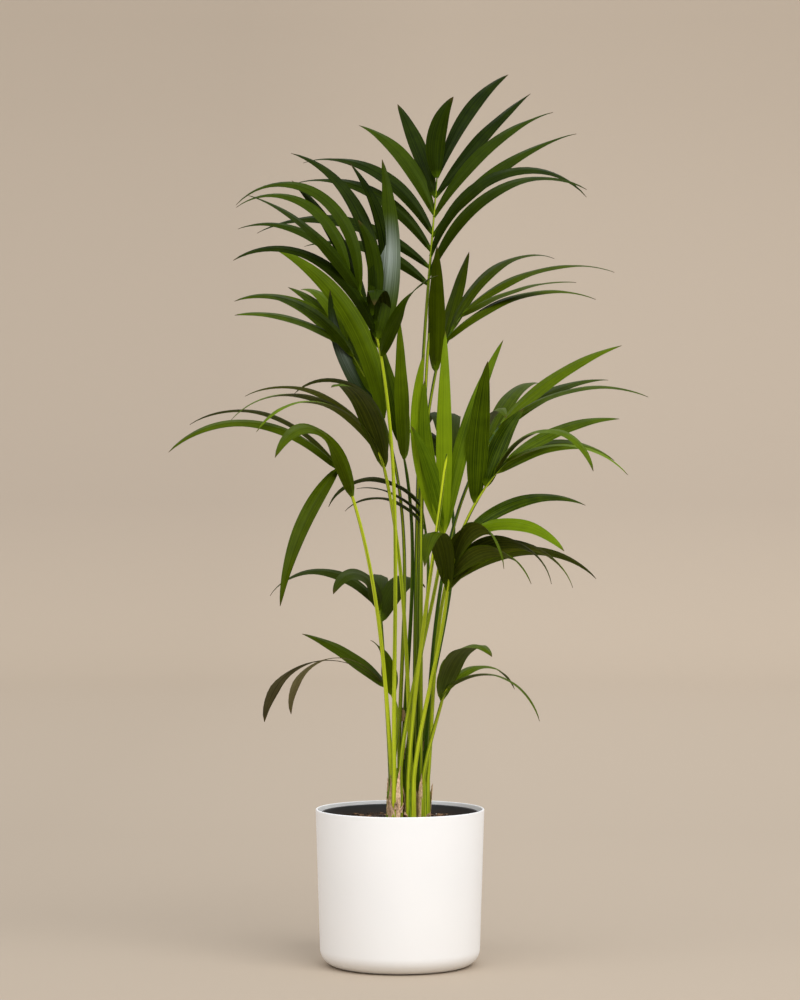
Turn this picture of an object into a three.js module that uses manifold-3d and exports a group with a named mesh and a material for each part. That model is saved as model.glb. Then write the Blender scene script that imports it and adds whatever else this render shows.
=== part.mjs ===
// A kentia palm in its pot: a clump of young stems, each carrying a few long-stalked feather fronds.
// Millimetres and degrees, +Z up. The origin is the centre of the pot's flat underside.
// +X is to the right and +Y to the back. A heading is measured in the level plane, from +X towards +Y.
import * as THREE from 'three';
import { mergeVertices } from 'three/addons/utils/BufferGeometryUtils.js';
import Module from 'manifold-3d';

const wasm = await Module();
wasm.setup();

const GAP = 0.3;
const POT_SEGMENTS = 40;

// The outer planter: a plain round cachepot with a thin rounded rim and a soft bottom corner.
const PLANTER = {
  rimRadius: 147.5, lowRadius: 140, height: 273, wall: 3.6, floor: 5, corner: 30, cornerSteps: 4, rimSteps: 4,
};
// The grower's pot that stands inside it, with the planter's floor under it.
const NURSERY = { rimRadius: 138, lowRadius: 108, height: 262.2, wall: 2, floor: 2.4, lip: 2.2, lipHeight: 16 };
const SOIL = { top: 252, drop: 1.5, flatRadius: 90 };

// The seedlings' short stems, wrapped in old leaf bases: where each stands and how high its flat top is.
const STEM = { footRadius: 10.4, waistRadius: 9.6, topRadius: 10.8, waistAt: 0.35, sides: 14 };
const STEMS = {
  outer_left: { x: -16, y: 5, top: 312 },
  front: { x: -6, y: -17, top: 345 },
  rear: { x: 5, y: 20, top: 330 },
  middle: { x: 20, y: -8, top: 322 },
  outer_right: { x: 42, y: -2, top: 325 },
  rear_right: { x: 30, y: 24, top: 350 },
};

// Leaf stalks taper from the stem to the blade, and the midrib (rachis) goes on tapering to its tip.
const STALK = { ring: 6.5, footRadius: 4.1, headRadius: 2.9, sides: 6, steps: 8 };
const RACHIS = { footRadius: 2.8, tipRadius: 1.3, sides: 5, step: 28 };

// A leaflet is a thin arching blade. It leaves the rachis by its narrow foot, is widest before its middle, and
// ends in a short point. Its droop gathers towards the tip, where its face turns up to the sky.
const LEAFLET = {
  steps: 6, thickness: 0.0108, foot: 0.12, tipWidth: 2.4, widest: 0.45, fullness: 0.72, slimming: 0.15,
  level: 0.8, bend: 1.3,
};

// One row of leaflets along a rachis. at: where the first and last stand, from 0 at the blade's foot to 1 at its
// tip. The other lists run from the first leaflet to the last: heading, rise above level, droop, length, width.
const row = (at, heading, rise, droop, length, width, more = {}) => ({
  count: Math.max(heading.length, rise.length, droop.length, length.length),
  at, heading, rise, droop, length, width, level: LEAFLET.level, widest: LEAFLET.widest, ...more,
});

// The fronds. side: where the stalk stands on its stem's top. head: where the blade begins. lean: off upright, at
// the head and at the tip. rachis: its length. faces: the heading that the blade's upper side looks to.
const FRONDS = {
  top: {
    stem: 'rear_right', side: 200, head: [49, 42, 1183], heading: 20, lean: [5, 5], rachis: 200, faces: 262,
    rows: [
      row([0.12, 1], [-30, 40], [64, 71, 52, 60, 53, 66], [93, 121, 38, 43, 17, 38],
        [382, 366, 318, 297, 274, 266], [28, 27], { widest: 0.6 }),
      row([0.05, 0.82], [165, 158, 162, 120], [42, 40, 56, 61, 66, 60], [56, 64, 73, 74, 46, 15],
        [250, 355, 325, 300, 242, 225], [23, 28], { widest: 0.52 }),
      row([1, 1], [-15], [99], [48], [150], [34], { level: 0.15, widest: 0.5 }),
    ],
  },
  upper_left: {
    stem: 'front', side: 235, head: [-31, -50, 1052], heading: 205, lean: [10, 42], rachis: 205,
    rows: [
      row([0.15, 0.95], [195, 152, 154, 156, 158, 160], [105, 97, 69, 91, 77, 44], [56, 81, 27, 133, 109, 61],
        [331, 386, 274, 370, 292, 208], [26, 19], { faces: 268, level: 0.5, widest: 0.48 }),
      row([0.04, 0.04], [300], [55], [50], [240], [31], { faces: 255 }),
      row([0.12, 0.12], [265], [110], [175], [180], [40], { faces: 85 }),
      row([0.2, 0.2], [190], [102], [24], [314], [42], { faces: 265, level: 0.3, widest: 0.3 }),
      row([0.2, 0.6], [210, 222], [66, 49], [97, 40], [348, 302], [20, 26], { faces: 268, level: 0.5 }),
      row([0.4, 0.4], [190], [105], [51], [174], [26], { faces: 268, level: 0.1 }),
    ],
  },
  left: {
    stem: 'rear', side: 210, head: [-26, 40, 945], heading: 165, lean: [18, 36], rachis: 160,
    rows: [
      row([0.08, 1], [165, 125], [82, 64, 57, 65], [60, 60, 38, 66], [392, 313, 237, 192], [36, 24],
        { faces: 265, level: 0.4 }),
      row([0.08, 0.08], [172], [50], [-40], [252], [28], { faces: 290, level: 0.1 }),
      row([0.85, 1], [215, 225], [50, 22], [70, 30], [280, 270], [27], { faces: 265, level: 0.5 }),
    ],
  },
  centre: {
    stem: 'rear', side: 90, head: [12, 24, 859], heading: 225, lean: [12, 20], rachis: 55, faces: 290,
    rows: [
      row([0.5, 1], [264, 180], [66, 80], [-14, 4], [265, 200], [28, 30]),
      row([0.5, 0.5], [95], [66], [65], [220], [28]),
    ],
  },
  mid_left: {
    stem: 'middle', side: 90, head: [-26, -15, 862], heading: 220, lean: [16, 40], rachis: 58,
    rows: [
      row([0.15, 0.15], [250], [58], [71], [305], [42], { faces: 70 }),
      row([0.5, 0.8], [220, 205], [53, 51], [104, 96], [318, 313], [30, 28]),
      row([0.2, 0.9], [168, 176], [99, 57], [142, 84], [273, 268], [24]),
    ],
  },
  low_left: {
    stem: 'outer_left', side: 300, head: [-80, -90, 813], heading: 215, lean: [20, 46], rachis: 66,
    rows: [
      row([0.1, 1], [245, 205], [58, 41], [106, 84], [345, 338], [36, 27], { faces: 280, level: 0.5 }),
      row([0.1, 0.7], [120, 165], [65, 55], [95, 85], [285, 322], [26]),
      row([0.96, 0.96], [236], [-36], [42], [290], [25], { faces: 310, level: 0.2 }),
    ],
  },
  small_left: {
    stem: 'outer_left', side: 90, head: [-33, 60, 592], heading: 115, lean: [8, 20], rachis: 35,
    rows: [
      row([0.2, 0.9], [60, 90, 160], [60, 58, 49], [95, 100, 102], [190, 190, 244], [36, 22]),
      row([0.8, 0.8], [235], [66], [125], [178], [38]),
    ],
  },
  lowest_left: {
    stem: 'front', side: 130, head: [-11, 4, 466], heading: 175, lean: [25, 50], rachis: 30,
    rows: [
      row([0.2, 0.8], [233, 165], [84, 42], [60, 26], [122, 180], [29], { faces: 280, level: 0.5 }),
      row([1, 0.9], [203, 208], [40, 50], [128, 149], [290, 258], [16, 12], { faces: 290, level: 0, widest: 0.75 }),
    ],
  },
  lowest_right: {
    stem: 'outer_right', side: 260, head: [72, -30, 460], heading: -50, lean: [22, 40], rachis: 30,
    rows: [
      row([0.2, 1], [-60, -40], [72, 30], [105, 100], [214, 238], [50, 18], { level: 0.8 }),
      row([0.1, 0.7], [80, 40], [65, 45], [105], [180, 190], [22], { faces: 240 }),
    ],
  },
  mid_right: {
    stem: 'middle', side: 305, head: [81, -70, 650], heading: -40, lean: [8, 38], rachis: 120,
    rows: [
      row([0.06, 0.35], [330, 325, 312, 295], [55, 58, 42, 60], [123, 133, 102, 135],
        [300, 270, 232, 260], [28, 30], { faces: 20, level: 0.7 }),
      row([0.1, 0.1], [260], [60], [117], [298], [38], { faces: 80 }),
      row([0.93, 0.93], [315], [20], [60], [240], [29], { faces: 255, level: 0.5 }),
      row([0.06, 0.15], [298, 372], [84, 38], [95, 84], [190, 292], [34, 26]),
      row([0.96, 0.96], [25], [38], [60], [250], [27], { faces: 265, level: 0.4 }),
    ],
  },
  right: {
    stem: 'outer_right', side: 0, head: [129, -20, 803], heading: -20, lean: [30, 46], rachis: 100,
    rows: [
      row([0.05, 0.05], [300], [87], [15], [250], [36], { faces: 275, level: 0.2 }),
      row([0.4, 0.4], [42], [72], [36], [168], [32], { faces: 266, level: 0.3 }),
      row([0.65, 0.9], [315, 325], [55, 26], [125, 70], [285, 268], [29, 25]),
      row([0.7, 1], [35], [32, 30], [62, 30], [280, 265], [30, 25], { faces: 275, level: 0.3 }),
    ],
  },
  far_right: {
    stem: 'outer_right', side: 100, head: [138, 80, 880], heading: 30, lean: [30, 42], rachis: 85, faces: 240,
    rows: [
      row([0.4, 1], [65, 40, 25], [48, 36, 42], [52, 36, 26], [290, 308, 288], [30, 26], { faces: 262, level: 0.4 }),
      row([0.3, 0.9], [-80, -40], [50, 30], [80, 50], [215, 340], [27, 24]),
    ],
  },
  upper_right: {
    stem: 'rear_right', side: 90, head: [62, 60, 1035], heading: 20, lean: [12, 40], rachis: 122,
    rows: [
      row([0.05, 1], [105, 60, 40, 20], [87, 63, 61, 39], [12, 4, 72, 54], [140, 207, 310, 318], [28, 26],
        { faces: 240, level: 0.6 }),
      row([0.1, 0.1], [270], [78], [20], [224], [30], { faces: 255, level: 0.1 }),
      row([0.525, 0.95], [335, 320], [39, 23], [60, 28], [306, 262], [26, 23], { faces: 230 }),
    ],
  },
  young: {
    stem: 'front', side: 350, head: [75, -42, 744], heading: -50, lean: [11, 11], rachis: 26, faces: 270,
    rows: [
      row([0.3, 0.5], [190, 200, 38], [68, 73, 78], [-36, -22, 22], [322, 272, 366], [26], { level: 0.3 }),
      row([0.6, 0.95], [85, 200], [96, 78], [24, 18], [352, 184], [26], { level: 0.3 }),
    ],
  },
  centre_left: {
    stem: 'rear', side: 330, head: [47, 2, 741], heading: 190, lean: [6, 10], rachis: 58,
    rows: [
      row([0.3, 1], [172, 174], [59, 50, 52], [105, 59, 119], [172, 138, 202], [20, 24]),
    ],
  },
  back: {
    stem: 'rear_right', side: 340, head: [95, 90, 777], heading: 110, lean: [10, 18], rachis: 95,
    rows: [
      row([0.75, 1], [118, 102], [64, 72], [90, 120], [220, 250], [28]),
      row([0.75, 1], [70, 84], [68, 74], [110, 125], [220, 240], [30]),
    ],
  },
};

// New fronds, still rolled up, stand out of two of the stems as bare spears.
const SPEAR_TIP_RADIUS = 1.8;
const SPEARS = {
  spear: { stem: 'middle', side: 200, head: [80, -115, 892], heading: -30, lean: [8] },
  spear_upper: { stem: 'outer_right', side: 180, head: [50, -40, 1103], heading: 0, lean: [4] },
};

const UP = new THREE.Vector3(0, 0, 1);
const BACK = new THREE.Vector3(0, 1, 0);
const radians = THREE.MathUtils.degToRad;

// The direction with this heading, risen this far above level.
function way(heading, rise) {
  const level = Math.cos(radians(rise));
  return new THREE.Vector3(
    level * Math.cos(radians(heading)), level * Math.sin(radians(heading)), Math.sin(radians(rise)));
}

// The value at u, from 0 to 1, of a list whose values are spread evenly from its start to its end.
function along(values, u) {
  const place = u * (values.length - 1);
  const first = Math.min(Math.floor(place), Math.max(values.length - 2, 0));
  const last = Math.min(first + 1, values.length - 1);
  return THREE.MathUtils.lerp(values[first], values[last], place - first);
}

// A closed skin over a stack of rings that all have the same number of corners, with both ends capped. Where a
// twist bends the four-cornered panel between two rings, it is split along the diagonal that makes it bulge.
function loft(rings) {
  const sides = rings[0].length;
  const end = (rings.length - 1) * sides;
  const index = [];
  const all = rings.flat();
  const reach = (first, second, middle) => all[first].clone().lerp(all[second], 0.5).distanceTo(middle);
  for (let start = 0; start < end; start += sides) {
    const middle = new THREE.Vector3();
    all.slice(start, start + 2 * sides).forEach((corner) => middle.addScaledVector(corner, 0.5 / sides));
    for (let side = 0; side < sides; side += 1) {
      const a = start + side;
      const b = start + ((side + 1) % sides);
      if (reach(a, b + sides, middle) >= reach(b, a + sides, middle)) {
        index.push(a, b, b + sides, a, b + sides, a + sides);
      } else {
        index.push(a, b, a + sides, b, b + sides, a + sides);
      }
    }
  }
  for (let side = 1; side < sides - 1; side += 1) {
    index.push(0, side + 1, side, end, end + side, end + side + 1);
  }
  const geometry = new THREE.BufferGeometry();
  const corners = all.flatMap((corner) => corner.toArray());
  geometry.setAttribute('position', new THREE.Float32BufferAttribute(corners, 3));
  geometry.setIndex(index);
  return geometry;
}

// A round limb through these centres, each ring square to its own direction, tapering from foot to tip.
function limb(centres, directions, sides, footRadius, tipRadius) {
  return loft(centres.map((centre, step) => {
    const radius = THREE.MathUtils.lerp(footRadius, tipRadius, step / (centres.length - 1));
    const across = BACK.clone().cross(directions[step]).setLength(radius);
    const through = directions[step].clone().cross(across).setLength(radius);
    return Array.from({ length: sides }, (_, side) => {
      const turn = (2 * Math.PI * side) / sides;
      return centre.clone().addScaledVector(across, Math.cos(turn)).addScaledVector(through, Math.sin(turn));
    });
  }));
}

// A stalk rises from its place on the stem's flat top, where its foot is cut level, and comes up to its head along
// the blade's own lean.
function stalk({ stem, side, head, heading, lean }, tipRadius) {
  const { x, y, top } = STEMS[stem];
  const foot = new THREE.Vector3(x, y, top + GAP).addScaledVector(way(side, 0), STALK.ring);
  const end = new THREE.Vector3(...head);
  const third = foot.distanceTo(end) / 3;
  const setOut = end.clone().sub(foot).normalize().add(UP).normalize();
  const curve = new THREE.CubicBezierCurve3(
    foot, foot.clone().addScaledVector(setOut, third),
    end.clone().addScaledVector(way(heading, 90 - lean[0]), -third), end);
  const places = Array.from({ length: STALK.steps + 1 }, (_, step) => step / STALK.steps);
  const directions = places.map((u) => (u === 0 ? UP : curve.getTangentAt(u)));
  return limb(places.map((u) => curve.getPointAt(u)), directions, STALK.sides, STALK.footRadius, tipRadius);
}

// How far the rachis leans off upright at this share of its length.
function leanAt(frond, at) {
  return THREE.MathUtils.lerp(frond.lean[0], frond.lean[1], at);
}

// The rachis starts just above its stalk and leans over steadily.
function rachisCentres(frond, steps) {
  const { head, heading, lean } = frond;
  const centres = [new THREE.Vector3(...head).addScaledVector(way(heading, 90 - lean[0]), GAP)];
  for (let step = 0; step < steps; step += 1) {
    const direction = way(heading, 90 - leanAt(frond, (step + 0.5) / steps));
    centres.push(centres[step].clone().addScaledVector(direction, frond.rachis / steps));
  }
  return centres;
}

// The point at this share of the way along evenly spaced centres.
function pointAt(centres, at) {
  const place = at * (centres.length - 1);
  const first = Math.min(Math.floor(place), centres.length - 2);
  return centres[first].clone().lerp(centres[first + 1], place - first);
}

// The blade's width at this share of its length: it swells from its foot and slims to its tip.
function leafletWidth(u, width, widest) {
  const { foot, tipWidth, fullness, slimming } = LEAFLET;
  const swell = Math.sin(Math.PI * u ** (Math.log(0.5) / Math.log(widest))) ** fullness;
  return width * (foot * (1 - u) + swell * (1 - slimming * u)) + tipWidth;
}

// The blade's rings, from its foot inside the rachis to its tip. It is folded like a low roof: each ring has one
// corner at either edge and one on the ridge above.
function leaflet(foot, face, { heading, rise, droop, length, width, level, widest }) {
  const { steps, bend, thickness } = LEAFLET;
  const centre = foot.clone();
  const rings = [];
  for (let step = 0; step <= steps; step += 1) {
    const u = step / steps;
    const direction = way(heading, rise - droop * u ** bend);
    const normal = face.clone().lerp(UP, level * u);
    const across = normal.cross(direction).setLength(leafletWidth(u, width, widest) / 2);
    const ridge = direction.clone().cross(across).setLength(thickness * length);
    rings.push([centre.clone().add(across), centre.clone().add(ridge), centre.clone().sub(across)]);
    const onward = way(heading, rise - droop * ((step + 0.5) / steps) ** bend);
    centre.addScaledVector(onward, length / steps);
  }
  return loft(rings);
}

function toManifold(geometry) {
  return new wasm.Manifold(new wasm.Mesh({
    numProp: 3,
    vertProperties: new Float32Array(geometry.attributes.position.array),
    triVerts: new Uint32Array(geometry.index.array),
  }));
}

function fromManifold(solid) {
  const { vertProperties, triVerts } = solid.getMesh();
  const geometry = new THREE.BufferGeometry();
  geometry.setAttribute('position', new THREE.BufferAttribute(vertProperties, 3));
  geometry.setIndex(new THREE.BufferAttribute(triVerts, 1));
  return geometry;
}

// A frond's blade: the rachis with every leaflet's foot sunk into it, as one solid.
function blade(frond) {
  const steps = Math.max(2, Math.round(frond.rachis / RACHIS.step));
  const centres = rachisCentres(frond, steps);
  const directions = centres.map((_, step) => way(frond.heading, 90 - leanAt(frond, step / steps)));
  let solid = toManifold(limb(centres, directions, RACHIS.sides, RACHIS.footRadius, RACHIS.tipRadius));
  for (const leaves of frond.rows) {
    for (let item = 0; item < leaves.count; item += 1) {
      const u = leaves.count > 1 ? item / (leaves.count - 1) : 0;
      const at = along(leaves.at, u);
      const face = way(leaves.faces ?? frond.faces ?? frond.heading + 180, leanAt(frond, at));
      const shape = { level: leaves.level, widest: leaves.widest };
      for (const name of ['heading', 'rise', 'droop', 'length', 'width']) {
        shape[name] = along(leaves[name], u);
      }
      solid = solid.add(toManifold(leaflet(pointAt(centres, at), face, shape)));
    }
  }
  return fromManifold(solid);
}

// A round shell or solid from its half outline, which starts and ends on the axis.
function turned(outline) {
  const geometry = new THREE.LatheGeometry(outline, POT_SEGMENTS);
  geometry.rotateX(Math.PI / 2);
  geometry.deleteAttribute('normal');
  geometry.deleteAttribute('uv');
  return mergeVertices(geometry, 1e-3);
}

// Up the planter's outside from its flat underside, round the bottom corner, over the rim and down inside.
function planterOutline() {
  const { rimRadius, lowRadius, height, wall, floor, corner, cornerSteps, rimSteps } = PLANTER;
  const point = (radius, z) => new THREE.Vector2(radius, z);
  const outline = [point(0, 0)];
  for (let step = 0; step <= cornerSteps; step += 1) {
    const turn = (Math.PI / 2) * (step / cornerSteps);
    outline.push(point(lowRadius - corner + corner * Math.sin(turn), corner - corner * Math.cos(turn)));
  }
  const round = wall / 2;
  for (let step = 0; step <= rimSteps; step += 1) {
    const turn = Math.PI * (step / rimSteps);
    outline.push(point(rimRadius - round + round * Math.cos(turn), height - round + round * Math.sin(turn)));
  }
  const inner = corner - wall;
  for (let step = cornerSteps; step >= 0; step -= 2) {
    const turn = (Math.PI / 2) * (step / cornerSteps);
    outline.push(point(lowRadius - corner + inner * Math.sin(turn), floor + inner - inner * Math.cos(turn)));
  }
  outline.push(point(0, floor));
  return outline;
}

// The grower's pot widens upwards to a band round its rim.
function nurseryOutline() {
  const { rimRadius, lowRadius, height, wall, floor, lip, lipHeight } = NURSERY;
  const base = PLANTER.floor + GAP;
  const top = base + height;
  return [
    new THREE.Vector2(0, base), new THREE.Vector2(lowRadius, base),
    new THREE.Vector2(rimRadius - lip, top - lipHeight), new THREE.Vector2(rimRadius, top - lipHeight),
    new THREE.Vector2(rimRadius, top), new THREE.Vector2(rimRadius - lip - wall, top),
    new THREE.Vector2(rimRadius - lip - wall, top - lipHeight),
    new THREE.Vector2(lowRadius - wall, base + floor), new THREE.Vector2(0, base + floor),
  ];
}

// The potting soil fills the grower's pot up to the band, level round the stems.
function soilOutline() {
  const { rimRadius, lowRadius, height, wall, floor, lip, lipHeight } = NURSERY;
  const base = PLANTER.floor + GAP + floor + GAP;
  const slope = (rimRadius - lip - lowRadius) / (height - lipHeight - floor);
  const edge = SOIL.top - SOIL.drop;
  const low = lowRadius - wall - GAP * 2;
  return [
    new THREE.Vector2(0, base), new THREE.Vector2(low, base),
    new THREE.Vector2(low + slope * (edge - base), edge),
    new THREE.Vector2(SOIL.flatRadius, SOIL.top), new THREE.Vector2(0, SOIL.top),
  ];
}

// A short upright stem, waisted a little above its flat foot on the soil and swelling to its flat top.
function stem({ x, y, top }) {
  const foot = SOIL.top + GAP;
  const levels = [[0, STEM.footRadius], [STEM.waistAt, STEM.waistRadius], [1, STEM.topRadius]];
  return loft(levels.map(([u, radius]) => {
    const centre = new THREE.Vector3(x, y, THREE.MathUtils.lerp(foot, top, u));
    return Array.from({ length: STEM.sides }, (_, side) => (
      centre.clone().addScaledVector(way((360 * side) / STEM.sides, 0), radius)));
  }));
}

const MATERIALS = {
  planter: new THREE.MeshStandardMaterial({ color: 0xf1efec, roughness: 0.55 }),
  nursery_pot: new THREE.MeshStandardMaterial({ color: 0x2c2f31, roughness: 0.6 }),
  soil: new THREE.MeshStandardMaterial({ color: 0x4a3526, roughness: 1 }),
  stem: new THREE.MeshStandardMaterial({ color: 0xa98a63, roughness: 0.85 }),
  stalk: new THREE.MeshStandardMaterial({ color: 0x8fb32a, roughness: 0.45 }),
  blade: new THREE.MeshStandardMaterial({ color: 0x2f4d1c, roughness: 0.45 }),
};

const palm = new THREE.Group();

function add(name, geometry, material) {
  const mesh = new THREE.Mesh(geometry, material.clone());
  mesh.name = name;
  palm.add(mesh);
}

add('planter', turned(planterOutline()), MATERIALS.planter);
add('nursery_pot', turned(nurseryOutline()), MATERIALS.nursery_pot);
add('soil', turned(soilOutline()), MATERIALS.soil);
for (const [name, shape] of Object.entries(STEMS)) {
  add(`stem_${name}`, stem(shape), MATERIALS.stem);
}
for (const [name, frond] of Object.entries(FRONDS)) {
  add(`stalk_${name}`, stalk(frond, STALK.headRadius), MATERIALS.stalk);
  add(`frond_${name}`, blade(frond), MATERIALS.blade);
}
for (const [name, spear] of Object.entries(SPEARS)) {
  add(name, stalk(spear, SPEAR_TIP_RADIUS), MATERIALS.stalk);
}

export default palm;
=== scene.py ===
# A young kentia palm clump in its white planter, from the planter up to the last leaflet.
# Metres, +Z up. The plant's own sizes are in millimetres, turned into metres where its meshes are
# made, and its headings and rises are in degrees.
import math
import random

import bpy
from mathutils import Matrix, Vector, noise


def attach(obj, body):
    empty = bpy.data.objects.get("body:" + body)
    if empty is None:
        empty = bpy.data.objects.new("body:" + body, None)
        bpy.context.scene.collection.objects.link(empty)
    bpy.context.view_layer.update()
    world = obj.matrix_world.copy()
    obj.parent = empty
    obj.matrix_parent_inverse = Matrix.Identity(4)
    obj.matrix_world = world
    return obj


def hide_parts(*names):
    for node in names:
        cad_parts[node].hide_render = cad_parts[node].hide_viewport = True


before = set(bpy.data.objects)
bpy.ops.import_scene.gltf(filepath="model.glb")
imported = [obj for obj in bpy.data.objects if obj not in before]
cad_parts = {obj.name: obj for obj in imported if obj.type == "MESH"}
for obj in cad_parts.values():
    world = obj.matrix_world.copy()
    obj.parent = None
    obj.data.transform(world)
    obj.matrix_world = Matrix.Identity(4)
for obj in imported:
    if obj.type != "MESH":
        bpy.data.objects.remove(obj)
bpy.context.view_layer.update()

# ----------------------
# Camera: a long lens, level at half the plant's height, about five metres in front.
camera_data = bpy.data.cameras.new("camera")
camera_data.lens = 105.9
camera = bpy.data.objects.new("camera", camera_data)
camera.location = (0, -5.15, 0.813)
camera.rotation_euler = (math.radians(90), 0, 0)
bpy.context.scene.collection.objects.link(camera)
bpy.context.scene.camera = camera

# ----------------------
# Studio: a plain pale beige floor that sweeps up into a round wall far behind the plant, lit by
# pale room light and two wide soft lamps. The key lamp stands to the right of the camera.
bpy.context.scene.view_settings.view_transform = "Standard"


def srgb(text):
    """An sRGB hex colour as the linear colour that sockets take."""
    shares = [int(text[place:place + 2], 16) / 255 for place in (0, 2, 4)]
    return tuple(s / 12.92 if s <= 0.04045 else ((s + 0.055) / 1.055) ** 2.4 for s in shares) + (1,)


# The numbers of a Mix node's sockets: its two colours and the colour that comes of them.
MIX_A, MIX_B, MIX_RESULT = 6, 7, 2


def set_inputs(node, inputs):
    """Sets a node's inputs, by name or in order: each a value, a hex colour, another node's output,
    or another node for its main output."""
    for socket, value in inputs.items() if isinstance(inputs, dict) else enumerate(inputs):
        if isinstance(value, bpy.types.Node):
            value = value.outputs[MIX_RESULT if value.type == "MIX" else 0]
        if isinstance(value, bpy.types.NodeSocket):
            node.id_data.links.new(value, node.inputs[socket])
        else:
            node.inputs[socket].default_value = srgb(value) if isinstance(value, str) else value


def add_node(tree, kind, inputs=(), stops=(), **settings):
    """One shader node with its settings, the stops of its colour ramp and its inputs. Mix nodes
    mix colours."""
    node = tree.nodes.new("ShaderNode" + kind)
    if kind == "Mix":
        node.data_type = "RGBA"
    for name, value in settings.items():
        setattr(node, name, value)
    for place, (position, colour) in enumerate(stops):
        node.color_ramp.elements[place].position = position
        node.color_ramp.elements[place].color = srgb(colour)
    set_inputs(node, inputs)
    return node


def new_material(name):
    """An empty material, its node tree and its shader."""
    material = bpy.data.materials.new(name)
    material.use_nodes = True
    tree = material.node_tree
    return material, tree, tree.nodes["Principled BSDF"]


STUDIO_FLOOR_RADIUS, STUDIO_COVE, STUDIO_COVE_STEPS, STUDIO_WALL = 8.0, 3.5, 12, 2.0

bpy.ops.object.select_all(action="DESELECT")
bpy.ops.mesh.primitive_circle_add(vertices=96, radius=STUDIO_FLOOR_RADIUS, fill_type="NGON")
studio = bpy.context.object
studio.name = "studio_floor"
bpy.ops.object.mode_set(mode="EDIT")
bpy.ops.mesh.select_all(action="DESELECT")
bpy.ops.mesh.select_non_manifold()
radius, height = STUDIO_FLOOR_RADIUS, 0.0
for step in range(1, STUDIO_COVE_STEPS + 2):
    turn = math.radians(90) * min(step, STUDIO_COVE_STEPS) / STUDIO_COVE_STEPS
    new_radius = STUDIO_FLOOR_RADIUS + STUDIO_COVE * math.sin(turn)
    new_height = STUDIO_COVE * (1 - math.cos(turn))
    new_height += STUDIO_WALL if step > STUDIO_COVE_STEPS else 0
    bpy.ops.mesh.extrude_edges_move(TRANSFORM_OT_translate={"value": (0, 0, new_height - height)})
    grow = new_radius / radius
    bpy.ops.transform.resize(value=(grow, grow, 1))
    radius, height = new_radius, new_height
bpy.ops.object.mode_set(mode="OBJECT")
bpy.ops.object.shade_smooth()

# Matt beige paper on a wide roll, with painted shade in its colour: a little darker where the sweep
# turns up from the floor, further behind the plant and towards the left edge, away from the key
# light.
backdrop_paper, tree, shader = new_material("backdrop_paper_matt_beige")
place = add_node(tree, "TexCoord").outputs["Object"]
axes = add_node(tree, "SeparateXYZ", {"Vector": place}).outputs
rise = add_node(tree, "MapRange", {"Value": axes["Z"], "From Max": 5.0})
# The ramp's darker stop, where the sweep turns up from the floor, is painted shade.
paper_and_painted_cove_shade = add_node(tree, "ValToRGB", {"Fac": rise}, ((0, "b7a998"), (1, "bbae9e")))
paper_and_painted_cove_shade.color_ramp.elements.new(0.16).color = srgb("ab9e8f")
# Painted shade towards the left edge, away from the key light, and further behind the plant.
painted_left_shade = add_node(
    tree, "MapRange",
    {"Value": axes["X"], "From Min": -0.9, "From Max": 0.3, "To Min": 0.92})
painted_far_shade = add_node(
    tree, "MapRange",
    {"Value": axes["Y"], "From Min": -0.3, "From Max": 2.0, "To Min": 1.02, "To Max": 0.93})
painted_shade = add_node(tree, "Math", (painted_left_shade, painted_far_shade), operation="MULTIPLY")
paper = add_node(tree, "VectorMath", {0: paper_and_painted_cove_shade, "Scale": painted_shade}, operation="SCALE")
set_inputs(shader, {"Base Color": paper, "Roughness": 0.95, "Specular IOR Level": 0.1})
studio.data.materials.append(backdrop_paper)

world = bpy.data.worlds.new("room_light")
bpy.context.scene.world = world
world.use_nodes = True
set_inputs(world.node_tree.nodes["Background"], {"Color": "f2f4f8", "Strength": 0.94})

# Each lamp is a wide soft source: name, heading and height above level in degrees, strength, width.
for name, heading, rise, strength, spread in (
    ("key_light", -55, 42, 1.86, 46), ("fill_light", -128, 38, 1.0, 60),
):
    lamp_data = bpy.data.lights.new(name, "SUN")
    lamp_data.energy = strength
    lamp_data.angle = math.radians(spread)
    lamp = bpy.data.objects.new(name, lamp_data)
    lamp.rotation_euler = (math.radians(90 - rise), 0, math.radians(heading + 90))
    bpy.context.scene.collection.objects.link(lamp)

# ----------------------
# Planter: a plain round cachepot, injection moulded in matt white polypropylene. The wall is
# 3.6 mm thick with a rounded rim and a soft bottom corner, and it stands on its flat underside.
PLANTER_RIM, PLANTER_LOW, PLANTER_HEIGHT = 0.1475, 0.140, 0.273
PLANTER_WALL, PLANTER_FLOOR, PLANTER_CORNER, PLANTER_UNDERSIDE = 0.0036, 0.005, 0.030, 0.104


def turn_up(name, stations, segments):
    """A turned piece: a disc extruded from station to station, each a radius and a height."""
    bpy.ops.object.select_all(action="DESELECT")
    first_radius, first_height = stations[0]
    bpy.ops.mesh.primitive_circle_add(
        vertices=segments, radius=first_radius, fill_type="NGON", location=(0, 0, first_height))
    piece = bpy.context.object
    piece.name = name
    bpy.ops.object.mode_set(mode="EDIT")
    bpy.ops.mesh.select_all(action="SELECT")
    for (radius, height), (next_radius, next_height) in zip(stations, stations[1:]):
        up = (0, 0, next_height - height)
        bpy.ops.mesh.extrude_region_move(TRANSFORM_OT_translate={"value": up})
        grow = next_radius / radius
        bpy.ops.transform.resize(value=(grow, grow, 1))
    bpy.ops.mesh.select_all(action="SELECT")
    bpy.ops.mesh.normals_make_consistent(inside=False)
    bpy.ops.object.mode_set(mode="OBJECT")
    bpy.ops.object.transform_apply(location=True, rotation=True, scale=True)
    bpy.ops.object.shade_smooth_by_angle(angle=math.radians(40))
    return piece


def arc(radius, height, bend, start, end, steps):
    """Stations on an arc round (radius, height), from one angle to the other above level."""
    for step in range(steps + 1):
        turn = math.radians(start + (end - start) * step / steps)
        yield radius + bend * math.cos(turn), height + bend * math.sin(turn)


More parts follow.
